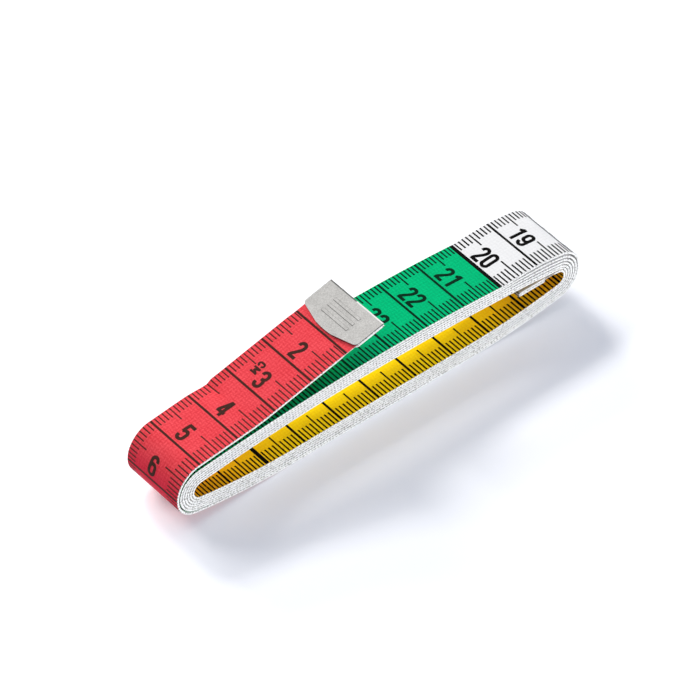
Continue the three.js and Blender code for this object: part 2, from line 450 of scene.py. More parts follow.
def coated_cloth(name, dark, light, fold_shade_tint=None):
    """Woven cloth under a printed satin coat, with painted shade in the folds where a tint is given."""
    finish, tree, shader = new_finish(name)
    coords = tape_coords(tree)
    weave = plain_weave(tree, coords, WEAVE_PITCH)
    blotches = noise(tree, coords, scale=0.22, detail=3)
    grain = noise(tree, coords, scale=2.6, detail=2)
    shade = join_values(tree, "ADD", fit_range(tree, weave, -0.2, 0.2), fit_range(tree, grain, -0.25, 1.0))
    shade = join_values(tree, "ADD", shade, fit_range(tree, blotches, -0.3, 0.3))
    colour = blend_colours(tree, shade, dark, light)
    # Painted shade: where a tint is given, the colour is multiplied towards it in the folds, darker where the tape
    # turns.
    if fold_shade_tint:
        colour = blend_colours(tree, fold_tone(tree), colour, fold_shade_tint, "MULTIPLY")
    tree.links.new(colour, shader.inputs["Base Color"])
    tree.links.new(fit_range(tree, grain, 0.42, 0.6), shader.inputs["Roughness"])
    shader.inputs["Specular IOR Level"].default_value = 0.07
    height = join_values(tree, "ADD", weave, fit_range(tree, grain, 0.0, 0.5))
    add_bump(tree, shader, height, strength=0.45, distance=0.00002)
    return finish


def cut_edge(name, dark, light):
    """The cut edge: white yarn between two coats, with a dotted line along each coat that is partly weft ends and
    partly painted shade in the gap to the next turn.
    """
    finish, tree, shader = new_finish(name)
    coords = tape_coords(tree)
    split = tree.nodes.new("ShaderNodeSeparateXYZ")
    tree.links.new(coords, split.inputs["Vector"])
    middle = EDGE_ORIGIN + (PRINTED_FACE - REVERSE_FACE) / 2
    depth = join_values(tree, "SUBTRACT", split.outputs["Y"], middle)
    depth = join_values(tree, "ABSOLUTE", depth, 0.0)
    coat = tree.nodes.new("ShaderNodeMapRange")
    coat.inputs["From Min"].default_value, coat.inputs["From Max"].default_value = COAT_DEPTHS
    tree.links.new(depth, coat.inputs["Value"])
    wefts = yarn_waves(tree, coords, "X", WEFT_PITCH)
    # The dotted line is partly weft ends and partly painted shade in the gap where one turn meets the next.
    weft_dots_and_gap_shade = join_values(tree, "MULTIPLY", coat.outputs["Result"], fit_range(tree, wefts, 0.1, 1.0))
    specks = noise(tree, coords, scale=1.9, detail=3)
    shade = join_values(tree, "SUBTRACT", fit_range(tree, specks, -0.55, 2.6), weft_dots_and_gap_shade)
    tree.links.new(blend_colours(tree, shade, dark, light), shader.inputs["Base Color"])
    shader.inputs["Roughness"].default_value = 0.75
    shader.inputs["Specular IOR Level"].default_value = 0.2
    add_bump(tree, shader, wefts, strength=0.4, distance=0.00003)
    return finish


def printing_ink(name, dark, light):
    """Printed ink, thinner here and there over the yarns."""
    finish, tree, shader = new_finish(name)
    coords = tree.nodes.new("ShaderNodeTexCoord").outputs["Object"]
    wear = noise(tree, coords, scale=2600, detail=3)
    shade = fit_range(tree, wear, -0.2, 1.1)
    tree.links.new(blend_colours(tree, shade, dark, light), shader.inputs["Base Color"])
    tree.links.new(fit_range(tree, wear, 0.4, 0.62), shader.inputs["Roughness"])
    shader.inputs["Specular IOR Level"].default_value = 0.03
    add_bump(tree, shader, wear, strength=0.3, distance=0.00001)
    return finish


def satin_plate(name, dark, light):
    """Nickel plate on pressed sheet: a fine matt grain with soft scuffs."""
    finish, tree, shader = new_finish(name)
    coords = tree.nodes.new("ShaderNodeTexCoord").outputs["Object"]
    grain = noise(tree, coords, scale=3600, detail=4)
    scuffs = noise(tree, coords, scale=420, detail=4)
    shade = join_values(tree, "ADD", fit_range(tree, grain, -0.35, 1.0), fit_range(tree, scuffs, -0.2, 0.4))
    tree.links.new(blend_colours(tree, shade, dark, light), shader.inputs["Base Color"])
    shader.inputs["Metallic"].default_value = 1.0
    tree.links.new(fit_range(tree, scuffs, 0.42, 0.6), shader.inputs["Roughness"])
    add_bump(tree, shader, grain, strength=0.5, distance=0.00003)
    return finish


# The red's tint is painted shade: a deeper crimson where the tape turns under at the first fold.
RED_CLOTH = coated_cloth("red_coated_cloth", (0.78, 0.044, 0.056), (1.0, 0.115, 0.132), fold_shade_tint=(0.85, 0.12, 0.46))
WHITE_CLOTH = coated_cloth("white_coated_cloth", (0.805, 0.795, 0.775), (0.925, 0.915, 0.893))
GREEN_CLOTH = coated_cloth("green_coated_cloth", (0.0, 0.39, 0.142), (0.001, 0.61, 0.228))
# The yellow's tint is painted shade: more orange towards the folds at both ends of the bore.
YELLOW_CLOTH = coated_cloth("yellow_coated_cloth", (0.9, 0.63, 0.005), (1.0, 0.83, 0.014), fold_shade_tint=(1.0, 0.7, 1.0))
YARN_EDGE = cut_edge("cut_yarn_edge", (0.26, 0.245, 0.205), (0.93, 0.92, 0.88))
BLACK_INK = printing_ink("black_ink", (0.0015, 0.0014, 0.0012), (0.006, 0.0055, 0.005))
INK_ON_GREEN = printing_ink("ink_on_green", (0.001, 0.016, 0.007), (0.004, 0.036, 0.016))
INK_ON_RED = printing_ink("ink_on_red", (0.04, 0.017, 0.013), (0.088, 0.038, 0.028))
NICKEL = satin_plate("satin_nickel", (0.44, 0.43, 0.415), (0.82, 0.81, 0.79))
# The pressed nickel is painted shade and the sheared nickel painted highlight: dark and bright copies of the plate
# for shaded and lit faces of the tips.
PAINTED_SHADE_NICKEL = satin_plate("painted_shade_nickel", (0.1, 0.098, 0.094), (0.3, 0.295, 0.285))
PAINTED_HIGHLIGHT_NICKEL = satin_plate("painted_highlight_nickel", (0.86, 0.855, 0.84), (0.97, 0.965, 0.95))

# Places of the finishes in a piece's list, with the tips' painted shade and painted highlight among them, and the
# cloth of each field of the scale
TAPE_CLOTHS = [RED_CLOTH, WHITE_CLOTH, GREEN_CLOTH, YELLOW_CLOTH, YARN_EDGE]
RED, WHITE, GREEN, YELLOW, EDGE = range(len(TAPE_CLOTHS))
FIELDS = [RED, WHITE, GREEN, WHITE]
TIP_PLATE_AND_PAINTED_LIGHT = [NICKEL, PAINTED_SHADE_NICKEL, PAINTED_HIGHLIGHT_NICKEL]
PLAIN, PAINTED_SHADE, PAINTED_HIGHLIGHT = range(len(TIP_PLATE_AND_PAINTED_LIGHT))


# -------------------- pieces

def new_piece(name, mesh):
    piece = bpy.data.objects.new(name, mesh)
    bpy.context.scene.collection.objects.link(piece)
    return piece


def make_active(piece):
    bpy.ops.object.select_all(action="DESELECT")
    piece.select_set(True)
    bpy.context.view_layer.objects.active = piece


def new_block(place, size):
    """A block of a given size, without scale of its own."""
    bpy.ops.mesh.primitive_cube_add(size=1, location=place)
    block = bpy.context.object
    block.scale = size
    bpy.ops.object.transform_apply(location=True, rotation=False, scale=True)
    return block


def edit_whole(operation, **settings):
    """Runs an operation of edit mode on the whole active piece."""
    bpy.ops.object.mode_set(mode="EDIT")
    bpy.ops.mesh.select_all(action="SELECT")
    operation(**settings)
    bpy.ops.object.mode_set(mode="OBJECT")


def unite(piece, other):
    make_active(piece)
    union = piece.modifiers.new("union", "BOOLEAN")
    union.operation = "UNION"
    union.object = other
    union.solver = "EXACT"
    bpy.ops.object.modifier_apply(modifier=union.name)
    bpy.data.objects.remove(other)


# -------------------- the tape

PRINT_LAG = 2.05
PRINT_LAG_RUN = (75.0, 165.0)
CLOTH_SMOOTHING = math.radians(30)

# Rows at the kink, as first, end and step, and the least step between any two rows
KINK_ROWS = (30.0, FREE_SEAM, 0.3)
LEAST_STEP = 0.02

# Painted shade in the folds of the cloth: the red field's by distance from the zero end, the bore's by distance from
# the middle
RED_FIELD_FOLD_SHADE = (53.0, 61.0)
RED_FIELD_FOLD_SHADE_END = 122.0
BORE_FOLD_SHADE = (18.0, 50.0)


def printed_at(mark):
    """Where a mark of the printed scale lies along the tape, which has stretched a little under the loop."""
    return mark + PRINT_LAG * smoothstep(mark, *PRINT_LAG_RUN)


def tape_rows(start, end, borders):
    """Where a stretch has its rows: at its ends, the borders of the fields and the path's own steps."""
    marks = borders[(borders > start) & (borders < end)]
    along = np.unique(np.concatenate([[start, end], marks, ALONG[(ALONG > start) & (ALONG < end)]]).round(4))
    if start < CREASE_AT < end:
        along = np.unique(np.concatenate([along, np.arange(*KINK_ROWS)]))
    return along[np.concatenate([[True], np.diff(along) > LEAST_STEP])]


def tape_rings(along, columns):
    """A ring for each row, as places across and offsets: printed face, cut edge, reverse and other cut edge."""
    across = np.linspace(EDGE_CHAMFER / TAPE_WIDTH * 2 - 1, 1 - EDGE_CHAMFER / TAPE_WIDTH * 2, columns + 1)
    ring_across = np.concatenate([across, [1, 1], across[::-1], [-1, -1]]) * half_width(along)[:, None]
    in_front = np.concatenate([np.ones(columns + 1), [1, 0], np.zeros(columns + 1), [0, 1]]) == 1
    inset = np.concatenate([np.zeros(columns + 1), [1, 1], np.zeros(columns + 1), [1, 1]]) * EDGE_CHAMFER
    front, back = printed_offset(along)[:, None], reverse_offset(along)[:, None]
    return ring_across, np.where(in_front, front - inset, back + inset)


def tape_faces(along, borders, columns, count):
    """Faces between the rings and over the two ends, with the cloth of each."""
    printed, reverse = range(columns), range(columns + 3, 2 * columns + 3)
    faces, cloths = [], []
    for row in range(len(along) - 1):
        field = FIELDS[int(np.searchsorted(borders, (along[row] + along[row + 1]) / 2))]
        in_sight = along[row] < ROOT_SEAM or along[row] > FAR_END - BORE_RUN
        here, there = row * count, (row + 1) * count
        for column in range(count):
            beside = (column + 1) % count
            faces.append((here + column, there + column, there + beside, here + beside))
            if column in printed:
                cloths.append(field)
            elif column in reverse:
                cloths.append(YELLOW if in_sight else WHITE)
            else:
                cloths.append(EDGE)
    last = (len(along) - 1) * count
    faces += [tuple(range(count)), tuple(range(last + count - 1, last - 1, -1))]
    return faces, [*cloths, EDGE, EDGE]


def map_tape(mesh, along, ring_across, offset, at_edge):
    """Lays out the tape's map in millimetres: faces by width, and cut edges by depth from their own origin."""
    rows = np.repeat(along, ring_across.shape[1])
    on_face = np.stack([rows, ring_across.ravel()], axis=1)
    on_edge = np.stack([rows, (offset + EDGE_ORIGIN).ravel()], axis=1)
    layer = mesh.uv_layers.new(name="tape")
    corners = np.empty(len(mesh.loops), dtype=np.int32)
    mesh.loops.foreach_get("vertex_index", corners)
    flat = np.where(at_edge[:, None], on_edge[corners], on_face[corners])
    layer.data.foreach_set("uv", flat.astype(np.float32).ravel())


def mark_folds(mesh, along, points):
    """Marks painted shade by how deep each point lies in a fold of the bore, or in the first fold of the red field.
    """
    bore_shade = smoothstep(np.abs(points[..., 0]) / MM, *BORE_FOLD_SHADE) * (along[:, None] > FAR_END - BORE_RUN)
    first_fold_shade = smoothstep(along, *RED_FIELD_FOLD_SHADE) * (along < RED_FIELD_FOLD_SHADE_END)
    shade_attribute = mesh.attributes.new("fold_tone", "FLOAT", "POINT")
    shade_attribute.data.foreach_set("value", (bore_shade + first_fold_shade[:, None]).astype(np.float32).ravel())


def tape_stretch(name, start, end, columns):
    """A stretch of tape with chamfered cut edges and a colour field for each hundred millimetres."""
    borders = printed_at(np.array(FIELD_BORDERS))
    along = tape_rows(start, end, borders)
    ring_across, offset = tape_rings(along, columns)
    points = on_tape(along[:, None] + 0 * offset, ring_across, offset)
    faces, cloths = tape_faces(along, borders, columns, ring_across.shape[1])

    mesh = bpy.data.meshes.new(name)
    mesh.from_pydata(points.reshape(-1, 3).tolist(), [], faces)
    for cloth in TAPE_CLOTHS:
        mesh.materials.append(cloth)
    mesh.polygons.foreach_set("material_index", cloths)
    map_tape(mesh, along, ring_across, offset, np.repeat(np.array(cloths) == EDGE, [len(face) for face in faces]))
    # Painted shade for the folds, which the red and yellow cloths multiply in.
    mark_folds(mesh, along, points)
    piece = new_piece(name, mesh)
    make_active(piece)
    edit_whole(bpy.ops.mesh.normals_make_consistent, inside=False)
    bpy.ops.object.shade_smooth_by_angle(angle=CLOTH_SMOOTHING)
    return piece


# -------------------- print, flat in millimetres and then wrapped on

CENTIMETRE = 10
INK_DEPTH = 0.045
TICK_WIDTH = 0.37
FAINT_TICK_WIDTH = 0.27
LINE_WIDTH = 0.56
FAINT_LINE_WIDTH = 0.52
FIELD_LINE_WIDTH = 0.95
EDGE_MARGIN = 0.15
LINE_LENGTH = TAPE_WIDTH - 2 * EDGE_MARGIN
NUMBER_HEIGHT = 4.6
NUMBER_GAP = 0.95
NUMBER_CENTRE = 0.65
REVERSE_LEAD = 2.8
ARC_POINTS = 9

# Lengths of ticks and of half centimetre ticks, on the far side of the tape and on its near side
TICKS = {1: (2.45, 4.1), -1: (3.45, 5.7)}

# Cuts that let the print follow a bend, a hinge and the kink, and the sizes below which points and slivers go
BEND_CUT = math.radians(3.0)
HINGE_CUT_STEP = 0.5
HINGE_CUT_COUNT = 6
KINK_CUTS = 8
KINK_CUTS_FROM = 0.5
SAME_POINT = 1e-5
SAME_PLANE = 1e-6
SLIVER = 0.0005


def ink_bar(at, middle, width, length):
    return new_block((at, middle, 0), (width, length, INK_DEPTH))


def repeat(bar, count, step):
    array = bar.modifiers.new("repeat", "ARRAY")
    array.use_relative_offset = False
    array.use_constant_offset = True
    array.constant_offset_displace = (step, 0, 0)
    array.count = count
    bpy.ops.object.modifier_apply(modifier=array.name)


def tick_rows(first, count, cells, width=TICK_WIDTH, half=False):
    """Millimetre ticks, or longer half centimetre ticks, along both edges: a row of them in each centimetre."""
    rows = []
    for side, (short, long) in TICKS.items():
        length = long if half else short
        row = ink_bar(first, side * (TAPE_WIDTH / 2 - EDGE_MARGIN - length / 2), width, length)
        repeat(row, count, 1)
        repeat(row, cells, CENTIMETRE)
        rows.append(row)
    return rows


def arc(x, y, radius, start, end):
    angles = np.radians(np.linspace(start, end, ARC_POINTS))
    return [(x + radius * math.cos(angle), y + radius * math.sin(angle)) for angle in angles]


def turned_over(strokes):
    return [[(-x, NUMBER_HEIGHT - y) for x, y in stroke] for stroke in strokes]


# Centre lines of narrow bold figures, each from its foot at the middle of its base; a ring ends where it starts
OVAL = arc(0, 3.51, 0.78, 0, 180) + arc(0, 1.09, 0.78, 180, 360)
HEAD = [(-0.78, 3.3), *arc(0, 3.51, 0.78, 180, 0)]
FOOT = [*arc(0, 1.09, 0.78, 0, -180), (-0.78, 1.32)]
SIX = [[(0.78, 3.35), *OVAL, (0.78, 1.95)], [(0.78, 1.85), *arc(0, 1.95, 0.78, 0, 180), (-0.78, 1.85)]]
FIGURES = {
    "0": [[*OVAL, (0.78, 3.51)]],
    "1": [[(0.25, 0), (0.25, 4.6)], [(0.2, 4.35), (-0.72, 3.55)]],
    "2": [[*HEAD, (0.72, 3.05), (0.5, 2.5), (-0.6, 0.75), (-0.72, 0.31)], [(-1.03, 0.31), (1.06, 0.31)]],
    "3": [[*HEAD, *arc(0.08, 3.1, 0.7, 0, -90), (-0.25, 2.4)],
          [(-0.25, 2.4), *arc(0.08, 1.7, 0.7, 90, 0), *FOOT]],
    "4": [[(0.42, 0), (0.42, 4.6)], [(0.25, 4.5), (-0.84, 1.2)], [(-1.12, 1.16), (1.1, 1.16)]],
    "5": [[(-0.95, 4.29), (0.98, 4.29)], [(-0.66, 4.4), (-0.76, 2.3)],
          [(-0.8, 2.25), (-0.45, 2.62), *arc(0.06, 2.02, 0.72, 90, 0), *FOOT]],
    "6": SIX,
    "7": [[(-1.0, 4.29), (1.05, 4.29)], [(0.72, 4.3), (-0.25, 0)]],
    "8": [arc(0, 3.59, 0.7, 0, 180) + arc(0, 3.13, 0.7, 180, 360) + [(0.7, 3.59)],
          arc(0, 1.65, 0.78, 0, 180) + arc(0, 1.09, 0.78, 180, 360) + [(0.78, 1.65)]],
    "9": turned_over(SIX),
}
UNIT_LETTERS = {
    "C": [[(0.46, 1.2), *arc(0, 1.2, 0.46, 18, 180), *arc(0, 0.66, 0.46, 180, 342), (0.46, 0.66)]],
    "M": [[(-0.62, 0), (-0.62, 1.86)], [(0.62, 0), (0.62, 1.86)], [(-0.6, 1.78), (0, 0.5)], [(0, 0.5), (0.6, 1.78)]],
}
FIGURE_STEP = 2.62
FIGURE_PEN = 0.78
UNIT_STEP = 1.76
UNIT_PEN = 0.48
STROKE_RISE = 0.004
LEAST_STROKE = 1e-4
MITRE_LIMIT = 0.6


def pen_stroke(points, width, depth):
    """A flat stroke of even width along a centre line."""
    line = np.array(points)
    ring = np.allclose(line[0], line[-1])
    steps = np.diff(line, axis=0)
    steps = steps[np.hypot(*steps.T) > LEAST_STROKE]
    line = np.concatenate([line[:1], line[0] + np.cumsum(steps, axis=0)])
    ways = steps / np.hypot(*steps.T)[:, None]
    before = np.concatenate([ways[-1:] if ring else ways[:1], ways])
    after = np.concatenate([ways, ways[:1] if ring else ways[-1:]])
    mean = (before + after) / np.hypot(*(before + after).T)[:, None]
    reach = width / 2 / np.maximum((mean * after).sum(axis=1), MITRE_LIMIT)
    side = np.stack([-mean[:, 1], mean[:, 0]], axis=1) * reach[:, None]
    if ring:
        line, side = line[:-1], side[:-1]
    count = len(line)
    points, faces = [], []
    for place, out in zip(line, side):
        for edge, level in ((place - out, -1), (place + out, -1), (place + out, 1), (place - out, 1)):
            points.append((*edge, level * depth / 2))
    for row in range(count if ring else count - 1):
        here, there = row * 4, (row + 1) % count * 4
        for corner in range(4):
            beside = (corner + 1) % 4
            faces.append((here + corner, here + beside, there + beside, there + corner))
    if not ring:
        faces += [(0, 3, 2, 1), tuple(range(count * 4 - 4, count * 4))]
    mesh = bpy.data.meshes.new("stroke")
    mesh.from_pydata(points, [], faces)
    return new_piece("stroke", mesh)


def character(strokes, width):
    """One solid character: its strokes, each a little deeper than the one before, united where they cross."""
    solids = [pen_stroke(stroke, width, INK_DEPTH + STROKE_RISE * layer) for layer, stroke in enumerate(strokes)]
    for solid in solids[1:]:
        unite(solids[0], solid)
    return solids[0]


FIGURE_SOLIDS = {figure: character(strokes, FIGURE_PEN) for figure, strokes in FIGURES.items()}
UNIT_SOLIDS = {letter: character(strokes, UNIT_PEN) for letter, strokes in UNIT_LETTERS.items()}


def flat_copy(solid, place):
    """A character's own copy on the flat layout; place turns its right and up into along and across."""
    copy = new_piece("mark", solid.data.copy())
    points = np.array([vertex.co for vertex in copy.data.vertices])
    along, across = place(points[:, 0], points[:, 1])
    copy.data.vertices.foreach_set("co", np.stack([along, across, points[:, 2]], axis=1).astype(np.float32).ravel())
    return copy


def number_at(value, centre):
    """A number stands on the near side of its line, with its top towards the scale's zero."""
    foot = value * CENTIMETRE - NUMBER_GAP
    marks = []
    for place, figure in enumerate(str(value)):
        right = (place - (len(str(value)) - 1) / 2) * FIGURE_STEP
        marks.append(flat_copy(FIGURE_SOLIDS[figure], lambda x, y: (foot - y, centre - right - x)))
    return marks


def unit_letters(at, across):
    """The unit beside a number, read along the tape."""
    return [flat_copy(UNIT_SOLIDS["C"], lambda x, y: (at - UNIT_STEP / 2 + x, across - y)),
            flat_copy(UNIT_SOLIDS["M"], lambda x, y: (at + UNIT_STEP / 2 + x, across - y))]


def scale_marks(first, last, centre=NUMBER_CENTRE, faint=False):
    """Ticks, lines and numbers of whole centimetres, from the line at first to the line at last."""
    cells, start = last - first, first * CENTIMETRE
    tick = FAINT_TICK_WIDTH if faint else TICK_WIDTH
    line = FAINT_LINE_WIDTH if faint else LINE_WIDTH
    marks = tick_rows(start + 1, 4, cells, tick) + tick_rows(start + 6, 4, cells, tick)
    marks += tick_rows(start + 5, 1, cells, tick, half=True)
    for value in range(first + 1, last + 1):
        width = FIELD_LINE_WIDTH if value % 10 == 0 else line
        marks.append(ink_bar(value * CENTIMETRE, 0, width, LINE_LENGTH))
        marks += number_at(value, centre)
    return marks


def bend_cuts(start, end):
    """Places along the tape where flat print is cut so that it can follow a bend."""
    inside = ALONG[(ALONG > start) & (ALONG < end)]
    heading = np.unwrap(np.arctan2(np.interp(inside, ALONG, NORMAL[:, 1]), np.interp(inside, ALONG, NORMAL[:, 0])))
    cuts, last = [], None
    for place, angle in zip(inside, heading):
        if last is None or abs(angle - last) > BEND_CUT:
            cuts.append(place)
            last = angle
    for hinge in (CREASE_AT, LIFT_AT):
        places = (hinge + step * HINGE_CUT_STEP for step in range(-HINGE_CUT_COUNT, HINGE_CUT_COUNT + 1))
        cuts += [place for place in places if start < place < end]
    return cuts


def cut_flat(flat, place, way):
    bmesh.ops.bisect_plane(flat, geom=[*flat.verts, *flat.edges, *flat.faces], dist=SAME_PLANE,
                           plane_co=place, plane_no=way)


def wrap_print(name, marks, ink, face, start, end, kink_cuts=0):
    """Joins flat marks into one print and lays it on a face of the tape, cut to bend from start to end."""
    bpy.ops.object.select_all(action="DESELECT")
    for mark in marks:
        mark.select_set(True)
    bpy.context.view_layer.objects.active = marks[0]
    bpy.ops.object.join()
    piece = bpy.context.object
    piece.name = piece.data.name = name

    flat = bmesh.new()
    flat.from_mesh(piece.data)
    bmesh.ops.remove_doubles(flat, verts=flat.verts, dist=SAME_POINT)
    for cut in bend_cuts(start, end):
        at = cut - (printed_at(cut) - cut) if face == "printed" else FAR_END + REVERSE_LEAD - cut
        cut_flat(flat, (at, 0, 0), (1, 0, 0))
    if kink_cuts:
        for cut in np.linspace(KINK_CUTS_FROM, TAPE_WIDTH / 2, kink_cuts + 1)[:-1]:
            cut_flat(flat, (0, cut, 0), (0, 1, 0))
    bmesh.ops.dissolve_degenerate(flat, dist=SLIVER, edges=flat.edges)
    # Faces are turned outward here, where the marks are large, and then reversed, because the wrap is a mirror image
    bmesh.ops.recalc_face_normals(flat, faces=flat.faces)
    bmesh.ops.reverse_faces(flat, faces=flat.faces)
    places = np.array([vertex.co for vertex in flat.verts])
    if face == "printed":
        along = printed_at(places[:, 0])
        offset = printed_offset(along) + places[:, 2]
    else:
        along = FAR_END - places[:, 0] + REVERSE_LEAD
        offset = reverse_offset(along) - places[:, 2]
    for vertex, point in zip(flat.verts, on_tape(along, places[:, 1], offset)):
        vertex.co = point
    flat.to_mesh(piece.data)
    flat.free()
    piece.data.materials.clear()
    piece.data.materials.append(ink)
    piece.data.polygons.foreach_set("material_index", [0] * len(piece.data.polygons))
    piece.data.polygons.foreach_set("use_smooth", [False] * len(piece.data.polygons))
    return piece


# -------------------- metal tips

TIP_SPARE = 1.0
TIP_BEND = 0.72
TIP_BEND_STEPS = 10
TIP_BOW_CUTS = 25
TIP_BOW_SHARE = 0.7
TIP_CORNER_SINK = 0.25
TIP_CORNER_CUTS = (15, 30, 45, 60, 75)
TIP_WELD = 0.005
TIP_RIM = 0.07
TIP_RIM_ANGLE = math.radians(50)
TIP_SMOOTHING = math.radians(40)
RIB_PLACES = (-6.6, -4.9, -3.2)
RIB_SIZE = (0.8, 8.2, 0.3)
RIB_ROUND = 0.14

# How far a face has to turn to count as a sheared side, a sheared bowed edge or the top of a rib, which decides
# where the tips' painted shade and painted highlight go
SIDE_TURN = 0.6
BOW_TURN = 0.4
TOP_TURN = 0.9


def add_bevel(piece, width, segments):
    bevel = piece.modifiers.new("bevel", "BEVEL")
    bevel.width = width
    bevel.segments = segments
    return bevel


def select_edges(piece, wanted):
    """Selects the edges whose two ends meet a test, in edit mode."""
    bpy.ops.mesh.select_all(action="DESELECT")
    shell = bmesh.from_edit_mesh(piece.data)
    for edge in shell.edges:
        if all(wanted(vertex.co) for vertex in edge.verts):
            edge.select = True
    shell.select_flush_mode()
    bmesh.update_edit_mesh(piece.data)


def cut_sheet(place, way, clear):
    """Cuts the sheet in edit mode, and clears what lies beyond if asked."""
    bpy.ops.mesh.select_all(action="SELECT")
    bpy.ops.mesh.bisect(plane_co=place, plane_no=way, clear_outer=clear)


def bent_sheet(name):
    """The tip's sheet without thickness: a bend with two leaves, cut to a bowed edge with round corners."""
    half = TAPE_WIDTH / 2 + TIP_OVERHANG
    leaf = TIP_ROUND - TIP_SHEET / 2
    back = TIP_MIDDLE + TIP_SPARE
    bpy.ops.mesh.primitive_plane_add(size=1, location=(-(back + TIP_ROUND) / 2, 0, leaf))
    sheet = bpy.context.object
    sheet.name = sheet.data.name = name
    sheet.scale = (back - TIP_ROUND, 2 * half, 1)
    bpy.ops.object.transform_apply(location=True, rotation=False, scale=True)

    bpy.ops.object.mode_set(mode="EDIT")
    bpy.ops.mesh.select_mode(type="EDGE")
    select_edges(sheet, lambda place: place.x > -2 * TIP_ROUND)
    bpy.ops.mesh.spin(steps=TIP_BEND_STEPS, angle=math.pi, center=(-TIP_ROUND, 0, 0), axis=(0, 1, 0))
    bpy.ops.mesh.extrude_region_move(TRANSFORM_OT_translate={"value": (TIP_ROUND - back, 0, 0)})

    bow = TIP_MIDDLE - TIP_SIDE
    bow_radius = (half * half + bow * bow) / (2 * bow)
    bow_centre = bow_radius - TIP_MIDDLE
    reach = math.asin((half - TIP_CORNER * TIP_BOW_SHARE) / bow_radius)
    for angle in np.linspace(-reach, reach, TIP_BOW_CUTS):
        outward = (-math.cos(angle), math.sin(angle), 0)
        cut_sheet((bow_centre + outward[0] * bow_radius, outward[1] * bow_radius, 0), outward, True)
    corner = (-(TIP_SIDE + TIP_CORNER_SINK - TIP_CORNER), half - TIP_CORNER)
    for side in (-1, 1):
        for angle in np.radians(TIP_CORNER_CUTS):
            outward = (-math.sin(angle), side * math.cos(angle), 0)
            place = (corner[0] + outward[0] * TIP_CORNER, side * corner[1] + outward[1] * TIP_CORNER, 0)
            cut_sheet(place, outward, True)
    cut_sheet((-TIP_BEND, 0, 0), (1, 0, 0), False)
    cut_sheet((0, 0, 0), (0, 1, 0), False)
    bpy.ops.mesh.select_all(action="SELECT")
    bpy.ops.mesh.remove_doubles(threshold=TIP_WELD)
    bpy.ops.mesh.normals_make_consistent(inside=False)
    bpy.ops.object.mode_set(mode="OBJECT")
    return sheet


def tip_finish(face, upper_edge_painted_light):
    """Dark painted shade on the far half of the bend, bright painted highlight on its near half and on sheared
    edges, and plain elsewhere.
    """
    if face.center.x > -TIP_BEND and face.normal.z > 0:
        return PAINTED_SHADE if face.center.y > 0 else PAINTED_HIGHLIGHT
    if abs(face.normal.y) > SIDE_TURN or face.normal.x < -BOW_TURN:
        return upper_edge_painted_light if face.center.z > 0 else PAINTED_HIGHLIGHT
    return PLAIN


def pressed_rib(along):
    rib = new_block((along, 0, TIP_ROUND), RIB_SIZE)
    bpy.ops.object.modifier_apply(modifier=add_bevel(rib, RIB_ROUND, segments=3).name)
    for finish in (NICKEL, PAINTED_SHADE_NICKEL):
        rib.data.materials.append(finish)
    for face in rib.data.polygons:
        # Painted shade: the rib's rounded sides take the dark nickel, so that the ribs stand out.
        face.material_index = PLAIN if face.normal.z > TOP_TURN else PAINTED_SHADE
    return rib


def folded_tip(name, upper_edge_painted_light):
    """One pressed sheet folded over the tape's end, with three ribs; the upper leaf's edge takes the painted shade
    or painted highlight that is passed in.
    """
    tip = bent_sheet(name)
    wall = tip.modifiers.new("sheet", "SOLIDIFY")
    wall.thickness = TIP_SHEET
    wall.offset = 0.0
    bpy.ops.object.modifier_apply(modifier=wall.name)
    rim = add_bevel(tip, TIP_RIM, segments=2)
    rim.limit_method = "ANGLE"
    rim.angle_limit = TIP_RIM_ANGLE
    bpy.ops.object.modifier_apply(modifier=rim.name)

    for finish in TIP_PLATE_AND_PAINTED_LIGHT:
        tip.data.materials.append(finish)
    for face in tip.data.polygons:
        face.material_index = tip_finish(face, upper_edge_painted_light)
    for along in RIB_PLACES:
        unite(tip, pressed_rib(along))
    edit_whole(bpy.ops.mesh.dissolve_degenerate, threshold=SLIVER)
    bpy.ops.object.shade_smooth_by_angle(angle=TIP_SMOOTHING)
    return tip


def set_on_end(tip, end, flip):
    """Brings a tip from its own millimetres to an end of the tape."""
    (x, z), (way_x, way_z) = ENDS[end]
    forward = Vector((way_x, 0, way_z))
    out = Vector((-way_z, 0, way_x)) * flip
    side = out.cross(forward)
    turn = Matrix((forward, side, out)).transposed().to_4x4()
    tip.data.transform(Matrix.Translation((x * MM, 0, z * MM)) @ turn @ Matrix.Scale(MM, 4))
    return tip


# -------------------- assembly

FINE_COLUMNS = 18
PLAIN_COLUMNS = 6
FIRST_LINE = 10.45
UNIT_PLACE = (25.2, 3.8)

free_tape = tape_stretch("free_end_tape", END_GAP, FREE_SEAM, FINE_COLUMNS)
root_tape = tape_stretch("root_tape", FREE_SEAM, ROOT_SEAM, FINE_COLUMNS)
wound_tape = tape_stretch("wound_tape", ROOT_SEAM, INNER_SEAM, PLAIN_COLUMNS)
inner_tape = tape_stretch("inner_end_tape", INNER_SEAM, FAR_END - END_GAP, PLAIN_COLUMNS)

